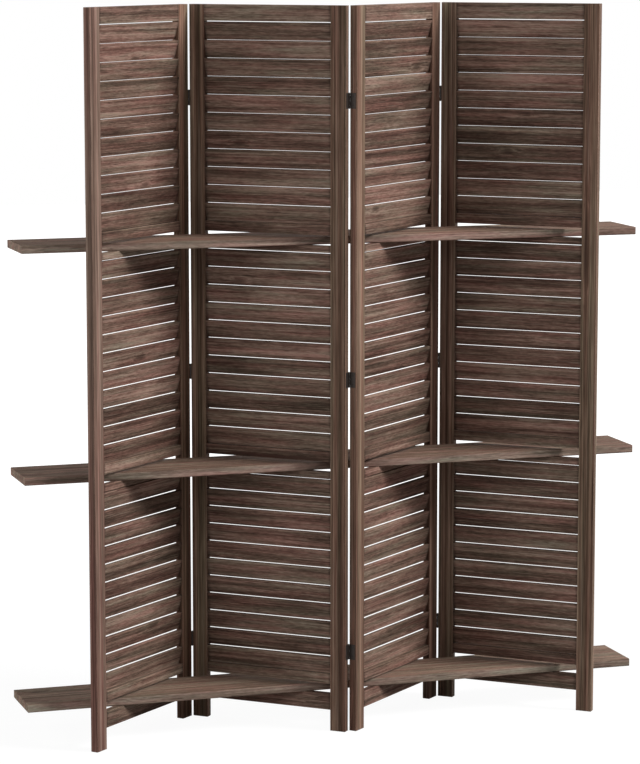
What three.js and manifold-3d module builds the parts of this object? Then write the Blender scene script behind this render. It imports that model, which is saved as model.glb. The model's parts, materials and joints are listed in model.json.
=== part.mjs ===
// A four-panel louvred folding screen with three shelf boards threaded through its panels.
// Millimetres, +Z up, +X along the row of panels, -Y to the front. The origin is on the floor,
// under the middle of the shelf boards and of the row's depth.

import * as THREE from "three";
import { mergeVertices } from "three/addons/utils/BufferGeometryUtils.js";
import Module from "manifold-3d";

const wasm = await Module();
wasm.setup();

// Sizes of a panel
const panelHeight = 1700;
const panelWidth = 396.5;
const frameThickness = 18;
const stileWidth = 38;
const footHeight = 50;
const topRailHeight = 38;
const bottomRailHeight = 38;
const upperShelfRailHeight = 23.5;
const lowerShelfRailHeight = 16;
const slotHeight = 24.5;
const frameEasing = 0.6;

// Sizes of the louvre slats
const slatWidth = 41.2;
const slatThickness = 7.5;
const slatTilt = THREE.MathUtils.degToRad(15.5);
const slatGap = 0.9;
const slatHeadGap = 1.8;
const slatEasing = 0.8;
const slatTenon = 10;

// Sizes and places of the shelf boards
const shelfLength = 1500;
const shelfDepth = 155;
const shelfThickness = 18;
const shelfEasing = 1.5;
const shelfSetBack = 8;
const shelfShiftLeft = 8;

// Sizes and places of the hinges
const hingeHeight = 36;
const hingeKnuckles = 5;
const hingeGap = 2.2;
const hingeAxisOffset = 1.4;
const knuckleRadius = 1.85;
const knuckleClearance = 0.3;
const knuckleGap = 0.3;
const pinRadius = 0.85;
const pinBoreRadius = 1.15;
const pinTip = 0.8;
const leafThickness = 0.75;
const leafWidth = 15;
const topHingeDrop = 217;
const bottomHingeRise = 190;

// How far each panel is turned from the row, and the clearance between pieces that meet
const foldAngle = THREE.MathUtils.degToRad(41.4);
const fit = 0.3;
const overrun = 1;
const roundSides = 12;

// What follows from the sizes
const shelfCount = 3;
const panelCount = 4;
const innerWidth = panelWidth - 2 * stileWidth;
const railLength = innerWidth - 2 * fit;
const shelfRails = shelfCount * (slotHeight + upperShelfRailHeight) + (shelfCount - 1) * lowerShelfRailHeight;
const bankHeight = (panelHeight - footHeight - bottomRailHeight - topRailHeight - shelfRails) / shelfCount;
const slatRise = slatWidth * Math.cos(slatTilt) + (slatThickness - 2 * slatEasing) * Math.sin(slatTilt);
const slatsPerBank = Math.round((bankHeight - slatHeadGap) / (slatRise + slatGap));
const slatPitch = (bankHeight - slatHeadGap) / slatsPerBank;
const levelHeight = slotHeight + upperShelfRailHeight + bankHeight + lowerShelfRailHeight;
const lowestSlot = footHeight + bottomRailHeight;
const axisAlong = panelWidth / 2 + hingeGap / 2;
const axisAcross = frameThickness / 2 + hingeAxisOffset;
const panelSpacing = 2 * (axisAlong * Math.cos(foldAngle) + axisAcross * Math.sin(foldAngle));
const topHinge = panelHeight - topHingeDrop;
const hingeLevels = { bottom: bottomHingeRise, middle: (bottomHingeRise + topHinge) / 2, top: topHinge };
const levelNames = ["bottom", "middle", "top"];

// Materials
const panelWood = new THREE.MeshStandardMaterial({ color: 0x6e564b, roughness: 0.75, metalness: 0 });
const shelfWood = new THREE.MeshStandardMaterial({ color: 0x80705f, roughness: 0.7, metalness: 0 });
const blackSteel = new THREE.MeshStandardMaterial({ color: 0x1c1a19, roughness: 0.45, metalness: 0.8 });

// A closed geometry as a solid that can be joined and cut
function toSolid(geometry) {
  const bare = geometry.clone();
  bare.deleteAttribute("normal");
  bare.deleteAttribute("uv");
  const merged = mergeVertices(bare);
  const vertProperties = new Float32Array(merged.attributes.position.array);
  const triVerts = new Uint32Array(merged.index.array);
  return new wasm.Manifold(new wasm.Mesh({ numProp: 3, vertProperties, triVerts }));
}

function toGeometry(solid) {
  const mesh = solid.getMesh();
  const geometry = new THREE.BufferGeometry();
  geometry.setAttribute("position", new THREE.BufferAttribute(mesh.vertProperties, 3));
  geometry.setIndex(new THREE.BufferAttribute(mesh.triVerts, 1));
  geometry.computeVertexNormals();
  return geometry;
}

// A rectangle around the origin with its four corners eased by a small flat
function easedRectangle(width, height, easing) {
  const shape = new THREE.Shape();
  const right = width / 2;
  const top = height / 2;
  shape.moveTo(-right + easing, -top);
  shape.lineTo(right - easing, -top);
  shape.lineTo(right, -top + easing);
  shape.lineTo(right, top - easing);
  shape.lineTo(right - easing, top);
  shape.lineTo(-right + easing, top);
  shape.lineTo(-right, top - easing);
  shape.lineTo(-right, -top + easing);
  shape.closePath();
  return shape;
}

// A bar standing on z = 0 with its section in the floor plane
function uprightBar(width, depth, height, easing) {
  const section = easedRectangle(width, depth, easing);
  return new THREE.ExtrudeGeometry(section, { depth: height, bevelEnabled: false });
}

// A bar lying along X from x = 0, with its section in the upright plane across it
function lyingBar(length, depth, height, easing) {
  const section = easedRectangle(depth, height, easing);
  const bar = new THREE.ExtrudeGeometry(section, { depth: length, bevelEnabled: false });
  const acrossY = new THREE.Vector3(0, 1, 0);
  const upZ = new THREE.Vector3(0, 0, 1);
  const alongX = new THREE.Vector3(1, 0, 0);
  return bar.applyMatrix4(new THREE.Matrix4().makeBasis(acrossY, upZ, alongX));
}

function stile() {
  return uprightBar(stileWidth, frameThickness, panelHeight, frameEasing);
}

// A slat ready to join its stile: the top edge leans to the front, and the root end is a tenon
function slat(centreHeight) {
  const bar = lyingBar(slatTenon + innerWidth - fit, slatThickness, slatWidth, slatEasing);
  bar.rotateX(slatTilt);
  bar.translate(stileWidth / 2 - slatTenon, 0, centreHeight);
  return bar;
}

// The left stile carries the slats of all its banks as a comb
function louvredStile() {
  let solid = toSolid(stile());
  for (let level = 0; level < shelfCount; level++) {
    const bankFloor = lowestSlot + level * levelHeight + slotHeight + upperShelfRailHeight;
    for (let n = 0; n < slatsPerBank; n++) {
      const slatTop = bankFloor + (n + 1) * slatPitch;
      solid = solid.add(toSolid(slat(slatTop - slatRise / 2)));
    }
  }
  return toGeometry(solid);
}

function rail(height) {
  const bar = lyingBar(railLength, frameThickness, height, frameEasing);
  bar.translate(-railLength / 2, 0, height / 2);
  return bar;
}

// A round bar on the hinge axis from a height upwards
function axisRound(radius, floor, height) {
  const round = new THREE.CylinderGeometry(radius, radius, height, roundSides);
  round.rotateX(Math.PI / 2);
  round.translate(0, 0, floor + height / 2);
  return toSolid(round);
}

// A hinge leaf for a panel on the left of the axis and behind it, its middle at z = 0.
// The leaf with the pin has the odd knuckles, and the other has the even ones, bored for the pin.
function hingeLeaf(hasPin) {
  const floor = -hingeHeight / 2;
  const pitch = hingeHeight / hingeKnuckles;
  const plateDepth = hingeAxisOffset + leafWidth;
  const plate = new THREE.BoxGeometry(leafThickness, plateDepth, hingeHeight);
  plate.translate(-hingeGap / 2 + fit + leafThickness / 2, plateDepth / 2, 0);
  let solid = toSolid(plate);
  for (let n = 0; n < hingeKnuckles; n++) {
    const knuckleFloor = floor + n * pitch;
    const isOwn = (n % 2 === 0) === hasPin;
    if (isOwn) {
      const knuckle = axisRound(knuckleRadius, knuckleFloor + knuckleGap / 2, pitch - knuckleGap);
      solid = solid.add(knuckle);
    } else {
      solid = solid.subtract(axisRound(knuckleRadius + knuckleClearance, knuckleFloor, pitch));
    }
  }
  if (hasPin) {
    return toGeometry(solid.add(axisRound(pinRadius, floor - pinTip, hingeHeight + 2 * pinTip)));
  }
  return toGeometry(solid.subtract(axisRound(pinBoreRadius, floor - overrun, hingeHeight + 2 * overrun)));
}

function addPiece(parent, name, geometry, material, x, y, z) {
  const piece = new THREE.Mesh(geometry, material);
  piece.name = name;
  piece.position.set(x, y, z);
  parent.add(piece);
  return piece;
}

// The frame and slats of one panel, around its own centre line
function addFrame(panel, label) {
  const stileAlong = (panelWidth - stileWidth) / 2;
  addPiece(panel, `${label}_left_stile_with_slats`, louvredStile(), panelWood, -stileAlong, 0, 0);
  addPiece(panel, `${label}_right_stile`, stile(), panelWood, stileAlong, 0, 0);
  addPiece(panel, `${label}_bottom_rail`, rail(bottomRailHeight), panelWood, 0, 0, footHeight);
  const topRailFloor = panelHeight - topRailHeight;
  addPiece(panel, `${label}_top_rail`, rail(topRailHeight), panelWood, 0, 0, topRailFloor);
  levelNames.forEach((name, level) => {
    const slotFloor = lowestSlot + level * levelHeight;
    const upper = rail(upperShelfRailHeight);
    addPiece(panel, `${label}_${name}_shelf_upper_rail`, upper, panelWood, 0, 0, slotFloor + slotHeight);
    if (level > 0) {
      const lower = rail(lowerShelfRailHeight);
      const lowerFloor = slotFloor - lowerShelfRailHeight;
      addPiece(panel, `${label}_${name}_shelf_lower_rail`, lower, panelWood, 0, 0, lowerFloor);
    }
  });
}

// The three leaves on one edge of a panel. side is -1 on its left edge and 1 on its right,
// and face is -1 where the hinge axis lies in front of the panel and 1 where it lies behind.
function addLeaves(panel, hingeName, side, face) {
  const hasPin = side > 0;
  for (const [level, height] of Object.entries(hingeLevels)) {
    const partName = hasPin ? "pin_leaf" : "leaf";
    const name = `${hingeName}_${level}_hinge_${partName}`;
    const leaf = addPiece(panel, name, hingeLeaf(hasPin), blackSteel, side * axisAlong, face * axisAcross, height);
    leaf.rotation.set(face > 0 ? Math.PI : 0, side < 0 ? Math.PI : 0, 0);
  }
}

// The row of panels, turned one way and the other, with hinges in front of the folds that point
// back and behind the one that points forward
const screen = new THREE.Group();
const foldNames = ["left_fold", "centre_fold", "right_fold"];
for (let n = 0; n < panelCount; n++) {
  const panel = new THREE.Group();
  const turn = n % 2 === 0 ? 1 : -1;
  panel.position.x = shelfShiftLeft + (n - (panelCount - 1) / 2) * panelSpacing;
  panel.rotation.z = turn * foldAngle;
  addFrame(panel, `panel_${n + 1}`);
  if (n > 0) {
    addLeaves(panel, foldNames[n - 1], -1, turn);
  }
  if (n < panelCount - 1) {
    addLeaves(panel, foldNames[n], 1, -turn);
  }
  screen.add(panel);
}

// The shelf boards, one through each level of slots
levelNames.forEach((name, level) => {
  const board = lyingBar(shelfLength, shelfDepth, shelfThickness, shelfEasing);
  const boardHeight = lowestSlot + level * levelHeight + fit + shelfThickness / 2;
  addPiece(screen, `${name}_shelf_board`, board, shelfWood, -shelfLength / 2, shelfSetBack, boardHeight);
});

export default screen;
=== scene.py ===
import json
import math

import bmesh
import bpy
from mathutils import Matrix, Vector


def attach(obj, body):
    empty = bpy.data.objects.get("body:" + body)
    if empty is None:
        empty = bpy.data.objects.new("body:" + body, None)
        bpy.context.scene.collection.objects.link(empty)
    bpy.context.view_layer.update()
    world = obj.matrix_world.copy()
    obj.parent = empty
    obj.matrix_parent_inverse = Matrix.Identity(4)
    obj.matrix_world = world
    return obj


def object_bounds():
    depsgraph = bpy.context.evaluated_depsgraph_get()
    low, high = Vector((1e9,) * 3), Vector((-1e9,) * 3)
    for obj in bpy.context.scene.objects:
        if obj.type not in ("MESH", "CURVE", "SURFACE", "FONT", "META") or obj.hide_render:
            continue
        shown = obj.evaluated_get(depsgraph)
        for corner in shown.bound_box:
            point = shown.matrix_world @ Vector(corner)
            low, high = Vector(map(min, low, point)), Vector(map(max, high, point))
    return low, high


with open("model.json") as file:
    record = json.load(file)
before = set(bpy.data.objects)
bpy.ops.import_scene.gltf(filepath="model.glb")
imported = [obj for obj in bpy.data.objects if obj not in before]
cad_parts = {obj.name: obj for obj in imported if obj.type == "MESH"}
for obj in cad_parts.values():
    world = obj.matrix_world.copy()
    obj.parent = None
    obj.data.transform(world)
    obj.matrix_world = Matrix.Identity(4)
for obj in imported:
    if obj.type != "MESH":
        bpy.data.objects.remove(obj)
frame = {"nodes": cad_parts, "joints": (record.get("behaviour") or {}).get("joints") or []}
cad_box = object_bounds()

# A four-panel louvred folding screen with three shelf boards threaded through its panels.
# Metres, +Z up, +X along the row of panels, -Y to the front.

# Sizes that the looks follow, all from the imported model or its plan
PANEL_COUNT = 4
PANEL_TURN = math.radians(41.4)
PANEL_WIDTH = 0.3965
STILE_WIDTH = 0.038
INNER_HALF = PANEL_WIDTH / 2 - STILE_WIDTH
LEVEL_COUNT = 3
LEVEL_HEIGHT = 0.53
FIRST_BANK = 0.136
SLATS_PER_BANK = 11
SLAT_PITCH = 0.0422
SLAT_RISE = 0.04128
SHELF_DEPTH = 0.155
SHELF_SET_BACK = 0.008
HINGE_HEIGHTS = (0.19, 0.8365, 1.483)
HINGE_AXIS_ALONG = 0.19935
HINGE_AXIS_ACROSS = 0.0104
LEAF_FACE_PAST_AXIS = -0.00005

# Sizes of the hinge screws, which are countersunk and have a cross recess
SCREWS_APART = 0.021
SCREW_FROM_AXIS = 0.0094
SCREW_HEAD_RADIUS = 0.0026
SCREW_HEAD_PROUD = 0.00004
SCREW_HEAD_DEPTH = 0.0013
SCREW_SEAT_RADIUS = 0.00278
SCREW_RECESS_FLOOR = 0.000006
SCREW_RECESS_REACH = 0.0014
SCREW_RECESS_HALF_WIDTH = 0.00038
SCREW_SHANK_RADIUS = 0.0013
SCREW_SHANK_LENGTH = 0.012
SCREW_TIP_LENGTH = 0.002

# Each screw stopped at its own angle, in radians, which follows its place
SKEW_AT_START = 0.4
SKEW_UP_LEAF = 50
SKEW_UP_PANEL = 3

# Sizes of the bead under each slat, and its place from the panel's middle plane. The photograph shows no
# bead. It is a guess that brings the light slits nearer to their brightness there.
BEAD_RADIUS = 0.0009
BEAD_DROP = 0.00055
BEAD_ACROSS = 0.0022
BEAD_SIDES = 8
BEAD_END_GAP = 0.0005
BEAD_ROOT = 0.001

# Noise in the wood: cells per metre along the grain, cells per metre across it, and detail
WANDER = (3.0, 8.0, 1.0)
LAYERS = {
    "fibres": (1.6, 380.0, 3.0),
    "bands": (1.5, 95.0, 1.0),
    "patches": (5.0, 36.0, 2.0),
    "grain": (55.0, 330.0, 2.0),
    "hues": (5.0, 60.0, 2.0),
    "ticks": (15.0, 210.0, 1.0),
    "scratches": (9.0, 260.0, 1.0),
    "pores": (40.0, 1100.0, 1.0),
}
NOISE_ROUGHNESS = 0.6
WANDER_REACH = 0.006
SEED_REACH = 60.0

# How much each layer, and each member's own chance, counts in the wood's tone
TONE_WEIGHTS = {"fibres": 0.75, "bands": 0.7, "patches": 0.6, "grain": 0.55}
CHANCE_WEIGHT = 0.24

# Scattered knots, in cells per metre. The size is a share of a cell, and edge and heart are shares of a knot.
KNOTS_ALONG = 3.0
KNOTS_ACROSS = 10.0
KNOT_SIZE = 0.07
KNOT_EDGE = 1.1
KNOT_HEART = 0.15

# Colours of the wood from its darkest tone to its lightest, as they look on a screen
WOOD_TONES = ((0.18, (66, 49, 41)), (0.42, (101, 79, 68)), (0.58, (128, 102, 89)), (0.82, (163, 138, 122)))

# The stain is redder in some places and members and more olive in others
OLIVE_STAIN = (0.89, 1.06, 1.03, 1.0)
RED_STAIN = (1.14, 0.95, 0.995, 1.0)
HUE_RANGE = (0.3, 0.7)
MEMBER_HUE_WEIGHT = 0.14

# Marks over the wood, in their order: the noise that starts and fills each, its strength and its colour
MARKS = {
    "scratches": (0.6, 0.75, 0.4, (168, 146, 131)),
    "ticks": (0.36, 0.24, 0.6, (58, 43, 36)),
    "pores": (0.4, 0.3, 0.45, (54, 41, 34)),
}
KNOT_LOOK = (0.65, (56, 41, 34))
# Edges painted lighter in patches, partly as wear and partly as a painted highlight
WEAR_AND_HIGHLIGHT_LOOK = (0.7, (182, 152, 132))
# Painted shade laid on the slats and rails where they meet the stiles
END_SHADE_LOOK = (0.5, (48, 37, 31))
WEAR_AND_HIGHLIGHT_PATCHES = (0.35, 0.65)

# The wood's surface: its roughness, how much smoother the raised fibres are, and the relief of its marks
WOOD_ROUGHNESS = 0.74
FIBRE_GLOSS = -0.3
RELIEF = {"fibres": 0.6, "grain": 0.6, "ticks": -0.5, "pores": -0.4}
RELIEF_HEIGHT = 0.001
RELIEF_STRENGTH = 0.8
WOOD_SPECULAR = 0.1

# Edges look rounded by this radius, and are painted lighter, partly as wear and partly as a painted
# highlight, where the surface turns away from its flat by this range
EDGE_RADIUS = 0.0015
EDGE_SAMPLES = 4
WEAR_AND_HIGHLIGHT_RANGE = (0.995, 0.93)

# How strongly the streaks show, the stretch of upright grain, and the width of the painted shade at the
# slats' ends
PANEL_FIGURE = 1.0
BOARD_FIGURE = 0.75
UPRIGHT_DRAW = 0.2
END_SHADE_REACH = 0.009

# The step of the seed from one node to the next, and in a comb from one level's slats to the next level's
SEEDS_PER_NODE = 100.0
SEEDS_PER_LEVEL = 20.0

# Margins by which a point counts as on a stile or on a board's long edge
STILE_MARGIN = 0.0001
BOARD_EDGE_MARGIN = 0.001

# Tints judged against the photograph: the left and the right stile of each panel, then the boards' faces
# and their long edges. They are stains, and partly painted light: panel 4's left stile is lightened against
# the shade in its fold, and the boards' long edges are painted lighter than their faces.
STILE_STAINS_AND_LIGHT = {
    1: ((1.0, 0.865, 0.9, 1.0), (1.07, 1.04, 0.93, 1.0)),
    2: ((1.05, 1.07, 0.97, 1.0), (0.9, 0.91, 0.83, 1.0)),
    3: ((0.92, 0.92, 0.845, 1.0), (1.07, 1.05, 0.98, 1.0)),
    4: ((1.24, 1.29, 1.23, 1.0), (1.02, 1.08, 0.98, 1.0)),
}
PLAIN_STAIN = (1.0, 1.0, 1.0, 1.0)
BOARD_STAIN = (1.08, 1.1, 1.07, 1.0)
BOARD_EDGE_STAIN_AND_LIGHT = (1.2, 1.32, 1.38, 1.0)

# Members that are lighter than their neighbours, judged against the photograph
LIFTS = {
    "top_shelf_board": 0.01,
    "middle_shelf_board": 0.13,
    "bottom_shelf_board": 0.09,
    "panel_1_right_stile": 0.1,
    "panel_3_right_stile": 0.1,
    "panel_4_right_stile": 0.14,
}

# The blackened steel of the hinges, and the shade in the screws' recesses
STEEL_DARK = (36, 31, 29)
STEEL_LIGHT = (64, 54, 49)
STEEL_METALLIC = 0.6
STEEL_ROUGHNESS = 0.35
STEEL_ROUGHNESS_SPREAD = 0.3
STEEL_WEAR_CELLS = 140.0
STEEL_WEAR_DETAIL = 3.0
STEEL_GRIT_CELLS = 900.0
STEEL_GRIT_DETAIL = 2.0
STEEL_GRIT_HEIGHT = 0.0001
STEEL_GRIT_STRENGTH = 0.5
SCREW_SHADE = (9, 8, 8)
SCREW_SHADE_ROUGHNESS = 0.9

# The camera
CAMERA_PLACE = (-2.214, -6.804, 1.857)
CAMERA_YAW = math.radians(17.85)
CAMERA_PITCH = math.radians(8.29)
CAMERA_LENS = 144.3
CAMERA_SENSOR = 36.0

# The floor's half width, its grey under the lamps, and how white it looks, all the more from afar
FLOOR_HALF = 14.0
FLOOR_GREY = 0.4
FLOOR_GLOW = 1.26
FLOOR_GLOW_NEAR = 0.75
FLOOR_FAR_RANGE = (1.5, 4.0)
DOME_LIGHT = 0.06
DOME_LOOK = 1.0

WHITE = (1.0, 1.0, 1.0, 1.0)

# The row of panels, which the axes of its folds give
joints = {joint["name"]: joint for joint in frame["joints"]}
left_fold = Vector(joints["left_fold"]["pos_m"])
centre_fold = Vector(joints["centre_fold"]["pos_m"])
panel_spacing = centre_fold.x - left_fold.x
first_centre = left_fold.x - panel_spacing / 2


def panel_turn(number):
    """How far a panel is turned from the row, in radians."""
    return PANEL_TURN if number % 2 else -PANEL_TURN


def panel_centre(number):
    return Vector((first_centre + (number - 1) * panel_spacing, 0, 0))


def panel_place(number):
    """The matrix from a panel's own upright plane to the row."""
    return Matrix.Translation(panel_centre(number)) @ Matrix.Rotation(panel_turn(number), 4, "Z")


def colour(red, green, blue):
    """A colour from 0 to 255, as it looks on a screen, as the light values that the shaders take."""
    def light(value):
        share = value / 255
        return share / 12.92 if share <= 0.04045 else ((share + 0.055) / 1.055) ** 2.4
    return (light(red), light(green), light(blue), 1.0)


def feed(tree, node, links):
    """Gives each of a node's sockets its value, or links another socket to it."""
    for key, value in links.items():
        if isinstance(value, bpy.types.NodeSocket):
            tree.links.new(value, node.inputs[key])
        else:
            node.inputs[key].default_value = value


def put(tree, kind, links=None, **settings):
    """Adds a node, with its settings and what each of its sockets takes."""
    node = tree.nodes.new(kind)
    for name, value in settings.items():
        setattr(node, name, value)
    feed(tree, node, links or {})
    return node


def calc(tree, operation, *values):
    """One step of arithmetic on values or sockets."""
    return put(tree, "ShaderNodeMath", dict(enumerate(values)), operation=operation).outputs[0]


def vector_calc(tree, operation, *values):
    """One step of arithmetic on vectors. Gives a vector, or a number for a dot product or a length."""
    outputs = put(tree, "ShaderNodeVectorMath", dict(enumerate(values)), operation=operation).outputs
    return outputs["Value" if operation in ("DOT_PRODUCT", "LENGTH") else "Vector"]


def weigh(tree, value, weight, base):
    """The base with a noise added to it, which swings round its middle by a weight."""
    return calc(tree, "MULTIPLY_ADD", calc(tree, "SUBTRACT", value, 0.5), weight, base)


def blend_colours(tree, share, first, second, mode="MIX"):
    """Two colours mixed by a share, which may be a value or a socket."""
    links = {0: share, 6: first, 7: second}
    return put(tree, "ShaderNodeMix", links, data_type="RGBA", blend_type=mode).outputs[2]


def cover(tree, body, share, look):
    """Lays a colour over the body where the share is high. A look is a strength and a colour."""
    strength, shade = look
    return blend_colours(tree, calc(tree, "MULTIPLY", share, strength), body, colour(*shade))


def spread(tree, value, low, high, mode="LINEAR"):
    """A value's share of the way from low to high, held between 0 and 1."""
    links = {0: value, 1: low, 2: high}
    return put(tree, "ShaderNodeMapRange", links, interpolation_type=mode).outputs[0]


def streaks(tree, point, offset, along, across, detail):
    """Noise drawn out along the grain. along and across are in cells per metre."""
    scaled = vector_calc(tree, "MULTIPLY_ADD", point, (along, across, across), offset)
    links = {"Vector": scaled, "Scale": 1.0, "Detail": detail, "Roughness": NOISE_ROUGHNESS}
    return put(tree, "ShaderNodeTexNoise", links).outputs[0]


def knots(tree, point, offset):
    """Scattered knots: how much each darkens the wood, and how far it pushes the grain aside."""
    cells = (KNOTS_ALONG, KNOTS_ACROSS, KNOTS_ACROSS)
    scaled = vector_calc(tree, "MULTIPLY_ADD", point, cells, offset)
    nearest = put(tree, "ShaderNodeTexVoronoi", {"Vector": scaled, "Scale": 1.0}).outputs
    away = vector_calc(tree, "SUBTRACT", scaled, nearest["Position"])
    reach = vector_calc(tree, "DOT_PRODUCT", away, away)
    area = KNOT_SIZE * KNOT_SIZE
    pull = calc(tree, "DIVIDE", area, calc(tree, "MAXIMUM", reach, area))
    sideways = put(tree, "ShaderNodeSeparateXYZ", {0: away}).outputs[1]
    push = calc(tree, "MULTIPLY", calc(tree, "MULTIPLY", sideways, pull), -1.0 / KNOTS_ACROSS)
    return spread(tree, reach, area * KNOT_EDGE, area * KNOT_HEART, "SMOOTHSTEP"), push


def wood_group():
    """Weathered wood. Point is (along the grain, across it, into it) and Seed tells members apart.
    The stain is multiplied in; on some stiles and on the boards' long edges it is partly painted light.
    Lift makes the whole member lighter, and Figure is how strongly the streaks show. Two inputs from 0 to 1
    lay marks on it: painted shade that darkens the slats and rails where they meet the stiles, and a
    lightening of the edges that is partly wear and partly a painted highlight."""
    tree = bpy.data.node_groups.new("weathered_wood", "ShaderNodeTree")
    tree.interface.new_socket("Point", in_out="INPUT", socket_type="NodeSocketVector")
    tree.interface.new_socket("StainAndLight", in_out="INPUT", socket_type="NodeSocketColor")
    for name in ("Seed", "Lift", "Figure", "EndShade", "WearAndHighlight"):
        tree.interface.new_socket(name, in_out="INPUT", socket_type="NodeSocketFloat")
    tree.interface.new_socket("Colour", in_out="OUTPUT", socket_type="NodeSocketColor")
    for name in ("Roughness", "Height"):
        tree.interface.new_socket(name, in_out="OUTPUT", socket_type="NodeSocketFloat")
    given = tree.nodes.new("NodeGroupInput").outputs
    chance = put(tree, "ShaderNodeTexWhiteNoise", {"W": given["Seed"]}, noise_dimensions="1D").outputs
    scale = {0: chance["Color"], "Scale": SEED_REACH}
    offset = put(tree, "ShaderNodeVectorMath", scale, operation="SCALE").outputs[0]
    member_hue = put(tree, "ShaderNodeSeparateColor", {0: chance["Color"]}).outputs[1]

    # The grain wanders a little from side to side, and bends round the knots
    knot, push = knots(tree, given["Point"], offset)
    wander = streaks(tree, given["Point"], offset, *WANDER)
    aside = weigh(tree, wander, WANDER_REACH, push)
    shifted = put(tree, "ShaderNodeCombineXYZ", {"Y": aside, "Z": aside}).outputs[0]
    point = vector_calc(tree, "ADD", given["Point"], shifted)
    layers = {name: streaks(tree, point, offset, *cells) for name, cells in LAYERS.items()}

    figure = 0.0
    for name, weight in TONE_WEIGHTS.items():
        figure = weigh(tree, layers[name], weight, figure)
    figure = weigh(tree, chance["Value"], CHANCE_WEIGHT, figure)
    tone = calc(tree, "MULTIPLY_ADD", figure, given["Figure"], calc(tree, "ADD", given["Lift"], 0.5))
    ramp = put(tree, "ShaderNodeValToRGB", {0: tone})
    for place, _ in WOOD_TONES[1:-1]:
        ramp.color_ramp.elements.new(place)
    for element, (place, shade) in zip(ramp.color_ramp.elements, WOOD_TONES):
        element.position = place
        element.color = colour(*shade)
    body = ramp.outputs[0]

    hue = weigh(tree, member_hue, MEMBER_HUE_WEIGHT, layers["hues"])
    tint = blend_colours(tree, spread(tree, hue, *HUE_RANGE), OLIVE_STAIN, RED_STAIN)
    body = blend_colours(tree, 1.0, body, tint, "MULTIPLY")
    body = blend_colours(tree, 1.0, body, given["StainAndLight"], "MULTIPLY")

    # Dry light scratches, short dark checks, pores and knots lie over the bands
    marks = {}
    for name, (start, full, strength, shade) in MARKS.items():
        marks[name] = spread(tree, layers[name], start, full)
        body = cover(tree, body, marks[name], (strength, shade))
    body = cover(tree, body, knot, KNOT_LOOK)

    # Edges are painted lighter in places, partly as wear and partly as a painted highlight, and painted
    # shade darkens the slats and rails where they meet the stiles
    rubbed_and_lit = calc(tree, "MULTIPLY", given["WearAndHighlight"], spread(tree, layers["patches"], *WEAR_AND_HIGHLIGHT_PATCHES))
    body = cover(tree, body, rubbed_and_lit, WEAR_AND_HIGHLIGHT_LOOK)
    body = cover(tree, body, given["EndShade"], END_SHADE_LOOK)

    roughness = weigh(tree, layers["fibres"], FIBRE_GLOSS, WOOD_ROUGHNESS)
    height = calc(tree, "MULTIPLY", marks["pores"], RELIEF["pores"])
    height = calc(tree, "MULTIPLY_ADD", marks["ticks"], RELIEF["ticks"], height)
    height = calc(tree, "MULTIPLY_ADD", layers["grain"], RELIEF["grain"], height)
    height = calc(tree, "MULTIPLY_ADD", layers["fibres"], RELIEF["fibres"], height)
    put(tree, "NodeGroupOutput", {"Colour": body, "Roughness": roughness, "Height": height})
    return tree


def new_material(name):
    """A material, with its node tree and its shader."""
    material = bpy.data.materials.new(name)
    material.use_nodes = True
    return material, material.node_tree, material.node_tree.nodes["Principled BSDF"]


def own_number(tree, name):
    """A number that each object carries."""
    return put(tree, "ShaderNodeAttribute", attribute_type="OBJECT", attribute_name=name).outputs["Fac"]


def object_point(tree):
    return put(tree, "ShaderNodeTexCoord").outputs["Object"]


def wood_material(name, group, make_point):
    """A wood material. make_point adds the nodes that give the grain's point, seed and tint, which is a stain
    and in places partly painted light, and the painted shade at the slats' ends, and tells how strongly the
    streaks show."""
    material, tree, shader = new_material(name)
    point, seed, stain_and_light, end_shade, figure = make_point(tree)
    rounded = put(tree, "ShaderNodeBevel", {"Radius": EDGE_RADIUS}, samples=EDGE_SAMPLES).outputs[0]
    flat = put(tree, "ShaderNodeNewGeometry").outputs["True Normal"]
    # The edges, which the wood paints lighter, partly as wear and partly as a painted highlight
    wear = spread(tree, vector_calc(tree, "DOT_PRODUCT", rounded, flat), *WEAR_AND_HIGHLIGHT_RANGE)
    links = {"Point": point, "Seed": seed, "StainAndLight": stain_and_light, "Lift": own_number(tree, "lift"),
             "Figure": figure, "EndShade": end_shade, "WearAndHighlight": wear}
    wood = put(tree, "ShaderNodeGroup", links, node_tree=group).outputs
    relief = {"Height": wood["Height"], "Distance": RELIEF_HEIGHT, "Strength": RELIEF_STRENGTH,
              "Normal": rounded}
    bump = put(tree, "ShaderNodeBump", relief).outputs[0]
    feed(tree, shader, {"Base Color": wood["Colour"], "Roughness": wood["Roughness"], "Normal": bump,
                        "Specular IOR Level": WOOD_SPECULAR})
    return material


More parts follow.
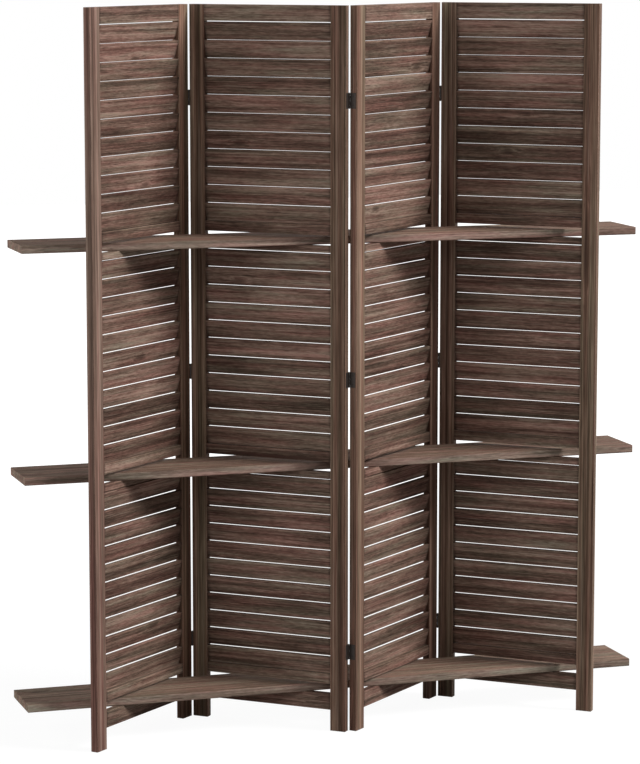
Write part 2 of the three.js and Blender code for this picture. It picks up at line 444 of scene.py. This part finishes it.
def panel_wood(number, group):
    """Wood with upright grain on the stiles of one panel and level grain on its slats and rails."""
    def make_point(tree):
        links = {"Vector": object_point(tree), "Location": panel_centre(number),
                 "Rotation": (0, 0, panel_turn(number))}
        own = put(tree, "ShaderNodeMapping", links, vector_type="TEXTURE").outputs[0]
        x, y, z = put(tree, "ShaderNodeSeparateXYZ", {0: own}).outputs
        level_point = put(tree, "ShaderNodeCombineXYZ", {0: x, 1: z, 2: y}).outputs[0]
        drawn_out = calc(tree, "MULTIPLY", z, UPRIGHT_DRAW)
        upright_point = put(tree, "ShaderNodeCombineXYZ", {0: drawn_out, 1: x, 2: y}).outputs[0]
        out = calc(tree, "ABSOLUTE", x)
        on_stile = calc(tree, "GREATER_THAN", out, INNER_HALF - STILE_MARGIN)
        points = {0: on_stile, 4: level_point, 5: upright_point}
        point = put(tree, "ShaderNodeMix", points, data_type="VECTOR").outputs[1]

        # A slat is known by its height, and only a comb has slats
        above = calc(tree, "SUBTRACT", z, FIRST_BANK)
        in_level = calc(tree, "FLOORED_MODULO", above, LEVEL_HEIGHT)
        level = calc(tree, "FLOOR", calc(tree, "DIVIDE", above, LEVEL_HEIGHT))
        slat = calc(tree, "FLOOR", calc(tree, "DIVIDE", in_level, SLAT_PITCH))
        slat = calc(tree, "MULTIPLY_ADD", level, SEEDS_PER_LEVEL, slat)
        off_stile = calc(tree, "SUBTRACT", 1.0, on_stile)
        louvred = calc(tree, "MULTIPLY", off_stile, own_number(tree, "louvred"))
        seed = calc(tree, "ADD", calc(tree, "MULTIPLY", louvred, slat), own_number(tree, "grain"))

        # Painted shade: the slats and rails darken towards the stiles, in the corners where shade falls
        at_end = spread(tree, out, INNER_HALF - END_SHADE_REACH, INNER_HALF, "SMOOTHSTEP")
        end_shade = calc(tree, "MULTIPLY", at_end, off_stile)
        # The stiles' tints are stains, and partly painted light where panel 4's left stile is lightened
        # against the shade in its fold
        left_stain_and_light, right_stain_and_light = STILE_STAINS_AND_LIGHT[number]
        on_right = calc(tree, "GREATER_THAN", x, 0.0)
        stile_stain_and_light = blend_colours(tree, on_right, left_stain_and_light, right_stain_and_light)
        stain_and_light = blend_colours(tree, on_stile, PLAIN_STAIN, stile_stain_and_light)
        return point, seed, stain_and_light, end_shade, PANEL_FIGURE
    return wood_material(f"panel_{number}_wood", group, make_point)


def shelf_wood(group):
    """Wood with level grain for the boards, a little lighter on their long edges, which is partly painted
    light.
    """
    def make_point(tree):
        point = object_point(tree)
        across = put(tree, "ShaderNodeSeparateXYZ", {0: point}).outputs[1]
        from_middle = calc(tree, "ABSOLUTE", calc(tree, "SUBTRACT", across, SHELF_SET_BACK))
        on_edge = calc(tree, "GREATER_THAN", from_middle, SHELF_DEPTH / 2 - BOARD_EDGE_MARGIN)
        stain_and_light = blend_colours(tree, on_edge, BOARD_STAIN, BOARD_EDGE_STAIN_AND_LIGHT)
        return point, own_number(tree, "grain"), stain_and_light, 0.0, BOARD_FIGURE
    return wood_material("shelf_wood", group, make_point)


def black_steel():
    material, tree, shader = new_material("black_steel")
    place = object_point(tree)

    def noise(cells, detail):
        return put(tree, "ShaderNodeTexNoise", {"Vector": place, "Scale": cells, "Detail": detail}).outputs[0]

    grit = noise(STEEL_GRIT_CELLS, STEEL_GRIT_DETAIL)
    wear = noise(STEEL_WEAR_CELLS, STEEL_WEAR_DETAIL)
    shade = blend_colours(tree, wear, colour(*STEEL_DARK), colour(*STEEL_LIGHT))
    roughness = calc(tree, "MULTIPLY_ADD", wear, STEEL_ROUGHNESS_SPREAD, STEEL_ROUGHNESS)
    relief = {"Height": grit, "Distance": STEEL_GRIT_HEIGHT, "Strength": STEEL_GRIT_STRENGTH}
    bump = put(tree, "ShaderNodeBump", relief).outputs[0]
    feed(tree, shader, {"Base Color": shade, "Roughness": roughness, "Normal": bump,
                        "Metallic": STEEL_METALLIC})
    return material


def screw_shade():
    """Painted shade: a near-black colour laid in a screw's shallow recess and in the ring round its head."""
    material, tree, shader = new_material("screw_shade")
    feed(tree, shader, {"Base Color": colour(*SCREW_SHADE), "Roughness": SCREW_SHADE_ROUGHNESS})
    return material


def add_ring(shape, points):
    return [shape.verts.new(point) for point in points]


def add_wall(shape, upper, lower, material=0):
    """Adds the faces between two rings that have equally many points."""
    for here, there in zip(range(-1, len(upper) - 1), range(len(upper))):
        face = shape.faces.new((upper[here], lower[here], lower[there], upper[there]))
        face.material_index = material


def add_piece(name, shape, materials, place, body):
    """Turns a shape into a piece that moves with a body."""
    bmesh.ops.recalc_face_normals(shape, faces=shape.faces)
    mesh = bpy.data.meshes.new(name)
    shape.to_mesh(mesh)
    shape.free()
    for material in materials:
        mesh.materials.append(material)
    piece = bpy.data.objects.new(name, mesh)
    piece.matrix_world = place
    bpy.context.scene.collection.objects.link(piece)
    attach(piece, body)
    return piece


def screw_recess():
    """The corners of a cross, in order round it."""
    corners = []
    for quarter in range(4):
        turn = Matrix.Rotation(quarter * math.pi / 2, 2)
        for x, y in ((SCREW_RECESS_REACH, -SCREW_RECESS_HALF_WIDTH),
                     (SCREW_RECESS_REACH, SCREW_RECESS_HALF_WIDTH),
                     (SCREW_RECESS_HALF_WIDTH, SCREW_RECESS_HALF_WIDTH)):
            corners.append(turn @ Vector((x, y)))
    return corners


def add_screw(shape, place):
    """Adds a screw whose head faces +Z of the place. Material 1 is the shade in its recess and round it."""
    def ring(points, radius, height):
        return add_ring(shape, [place @ Vector((*(point * radius), height)) for point in points])

    corners = screw_recess()
    round_points = []
    for here, there in zip(corners, corners[1:] + corners[:1]):
        round_points.append(here.normalized())
        round_points.append((here.normalized() + there.normalized()).normalized())
    recess_top = ring(corners, 1, SCREW_HEAD_PROUD)
    recess_floor = ring(corners, 1, SCREW_RECESS_FLOOR)
    rim = ring(round_points, SCREW_HEAD_RADIUS, SCREW_HEAD_PROUD)
    count = len(corners)
    for here in range(count):
        there = (here + 1) % count
        outer = (rim[2 * here], rim[2 * here + 1], rim[2 * there])
        shape.faces.new((recess_top[here], *outer, recess_top[there]))
    add_wall(shape, recess_floor, recess_top, 1)
    shape.faces.new(recess_floor).material_index = 1

    below = ((SCREW_HEAD_RADIUS, SCREW_RECESS_FLOOR, 0), (SCREW_SEAT_RADIUS, SCREW_RECESS_FLOOR, 1),
             (SCREW_SHANK_RADIUS, -SCREW_HEAD_DEPTH, 0), (SCREW_SHANK_RADIUS, -SCREW_SHANK_LENGTH, 0))
    upper = rim
    for radius, height, material in below:
        lower = ring(round_points, radius, height)
        add_wall(shape, upper, lower, material)
        upper = lower
    tip = shape.verts.new(place @ Vector((0, 0, -SCREW_SHANK_LENGTH - SCREW_TIP_LENGTH)))
    for here, there in zip(range(-1, len(upper) - 1), range(len(upper))):
        shape.faces.new((upper[here], tip, upper[there]))


def hinge_screws(number, materials):
    """The screws of all the leaves on one panel. A leaf on the left edge has side -1, and one on the right 1.
    The face is -1 where its hinge is in front of the panel, and 1 where it is behind."""
    shape = bmesh.new()
    turn = 1 if number % 2 else -1
    edges = [(-1, turn)] if number > 1 else []
    if number < PANEL_COUNT:
        edges.append((1, -turn))
    for side, face in edges:
        across = face * (HINGE_AXIS_ACROSS - SCREW_FROM_AXIS)
        for height in HINGE_HEIGHTS:
            for up in (-SCREWS_APART / 2, SCREWS_APART / 2):
                middle = Vector((side * (HINGE_AXIS_ALONG + LEAF_FACE_PAST_AXIS), across, height + up))
                facing = Matrix.Rotation(side * math.pi / 2, 4, "Y")
                angle = SKEW_AT_START + SKEW_UP_LEAF * up + SKEW_UP_PANEL * height + side
                add_screw(shape, Matrix.Translation(middle) @ facing @ Matrix.Rotation(angle, 4, "Z"))
    name = f"panel_{number}_hinge_screws"
    add_piece(name, shape, materials, panel_place(number), f"panel_{number}")


def slat_beads(number, wood):
    """Thin beads along the lower edges of one panel's slats, which narrow the light slits between them."""
    place = panel_place(number)
    shape = bmesh.new()

    def ring(along, middle):
        points = []
        for side in range(BEAD_SIDES):
            turn = 2 * math.pi * side / BEAD_SIDES
            across = BEAD_ACROSS + BEAD_RADIUS * math.cos(turn)
            points.append(place @ Vector((along, across, middle + BEAD_RADIUS * math.sin(turn))))
        return add_ring(shape, points)

    for level in range(LEVEL_COUNT):
        for slat in range(SLATS_PER_BANK):
            slat_top = FIRST_BANK + level * LEVEL_HEIGHT + (slat + 1) * SLAT_PITCH
            middle = slat_top - SLAT_RISE - BEAD_DROP + BEAD_RADIUS
            root = ring(-INNER_HALF - BEAD_ROOT, middle)
            tip = ring(INNER_HALF - BEAD_END_GAP, middle)
            add_wall(shape, tip, root)
            shape.faces.new(root)
            shape.faces.new(tip)
    name = f"panel_{number}_slat_beads"
    piece = add_piece(name, shape, (wood,), Matrix(), f"panel_{number}")

    # The beads take the look of the slats that they lie under
    comb = frame["nodes"][f"panel_{number}_left_stile_with_slats"]
    for key in ("grain", "louvred", "lift"):
        piece[key] = comb[key]


def dress():
    """Gives every node of the model its material, and adds the beads and the screws."""
    group = wood_group()
    panel_materials = {number: panel_wood(number, group) for number in range(1, PANEL_COUNT + 1)}
    boards = shelf_wood(group)
    steel = black_steel()
    for place, (name, node) in enumerate(sorted(frame["nodes"].items())):
        node["grain"] = SEEDS_PER_NODE * place
        node["louvred"] = 1.0 if name.endswith("with_slats") else 0.0
        node["lift"] = LIFTS.get(name, 0.0)
        if "hinge" in name:
            material = steel
        elif name.endswith("board"):
            material = boards
        else:
            material = panel_materials[int(name.split("_")[1])]
        node.data.materials.clear()
        node.data.materials.append(material)
    shade = screw_shade()
    for number in range(1, PANEL_COUNT + 1):
        hinge_screws(number, (steel, shade))
        slat_beads(number, panel_materials[number])


def make_camera():
    """The camera looks at the screen as the photograph does, from the front and a little to the left."""
    camera = bpy.data.cameras.new("camera")
    camera.lens = CAMERA_LENS
    camera.sensor_width = CAMERA_SENSOR
    seen = bpy.data.objects.new("camera", camera)
    seen.location = CAMERA_PLACE
    turn = Matrix.Rotation(-CAMERA_YAW, 4, "Z") @ Matrix.Rotation(math.pi / 2 - CAMERA_PITCH, 4, "X")
    seen.rotation_euler = turn.to_euler()
    bpy.context.scene.collection.objects.link(seen)
    bpy.context.scene.camera = seen


def only_seen(tree):
    """1 on what the camera sees, straight or in a gloss or through glass, and 0 on other light."""
    path = put(tree, "ShaderNodeLightPath").outputs
    direct = calc(tree, "MAXIMUM", path["Is Camera Ray"], path["Is Glossy Ray"])
    return calc(tree, "MAXIMUM", direct, path["Is Transmission Ray"])


def make_floor():
    """A pale floor that keeps the shadow and looks white where it is lit."""
    mesh = bpy.data.meshes.new("floor")
    corners = [(x * FLOOR_HALF, y * FLOOR_HALF, 0) for x, y in ((-1, -1), (1, -1), (1, 1), (-1, 1))]
    mesh.from_pydata(corners, [], [(0, 1, 2, 3)])
    floor = bpy.data.objects.new("floor", mesh)
    bpy.context.scene.collection.objects.link(floor)
    material, tree = new_material("floor")[:2]
    tree.nodes.clear()
    matt = put(tree, "ShaderNodeBsdfDiffuse", {"Color": (FLOOR_GREY, FLOOR_GREY, FLOOR_GREY, 1)}).outputs[0]
    glow = put(tree, "ShaderNodeEmission", {"Color": WHITE, "Strength": FLOOR_GLOW}).outputs[0]
    away = vector_calc(tree, "LENGTH", object_point(tree))
    far = spread(tree, away, *FLOOR_FAR_RANGE, "SMOOTHSTEP")
    whiter = calc(tree, "MULTIPLY_ADD", far, 1 - FLOOR_GLOW_NEAR, FLOOR_GLOW_NEAR)
    share = calc(tree, "MULTIPLY", only_seen(tree), whiter)
    mixed = put(tree, "ShaderNodeMixShader", {0: share, 1: matt, 2: glow}).outputs[0]
    put(tree, "ShaderNodeOutputMaterial", {"Surface": mixed})
    mesh.materials.append(material)


def make_world():
    """A white backdrop that gives the screen only a little light."""
    world = bpy.data.worlds.new("world")
    bpy.context.scene.world = world
    world.use_nodes = True
    tree = world.node_tree
    tree.nodes.clear()
    dome = put(tree, "ShaderNodeBackground", {"Color": WHITE, "Strength": DOME_LIGHT}).outputs[0]
    backdrop = put(tree, "ShaderNodeBackground", {"Color": WHITE, "Strength": DOME_LOOK}).outputs[0]
    mixed = put(tree, "ShaderNodeMixShader", {0: only_seen(tree), 1: dome, 2: backdrop}).outputs[0]
    put(tree, "ShaderNodeOutputWorld", {"Surface": mixed})


def make_lamp(name, azimuth, elevation, distance, size, power, tint=(1, 1, 1)):
    """A square soft lamp that faces the middle of the screen. Azimuth 0 is in front and 90 at the right."""
    lamp = bpy.data.lights.new(name, "AREA")
    lamp.size = size
    lamp.energy = power
    lamp.color = tint
    holder = bpy.data.objects.new(name, lamp)
    turn = math.radians(azimuth)
    rise = math.radians(elevation)
    away = Vector((math.sin(turn) * math.cos(rise), -math.cos(turn) * math.cos(rise), math.sin(rise)))
    middle = (cad_box[0] + cad_box[1]) / 2
    holder.location = middle + away * distance
    holder.rotation_euler = away.to_track_quat("Z", "Y").to_euler()
    bpy.context.scene.collection.objects.link(holder)


dress()
make_camera()
make_floor()
make_world()
make_lamp("key", azimuth=60, elevation=33, distance=14.0, size=4.0, power=2050)
make_lamp("fill", azimuth=-60, elevation=20, distance=9.0, size=5.0, power=315, tint=(0.97, 1, 1))
make_lamp("back_left", azimuth=-138, elevation=6, distance=9.0, size=4.0, power=200)
make_lamp("back_right", azimuth=120, elevation=6, distance=9.0, size=4.0, power=200)

bpy.context.scene.view_settings.view_transform = "Standard"
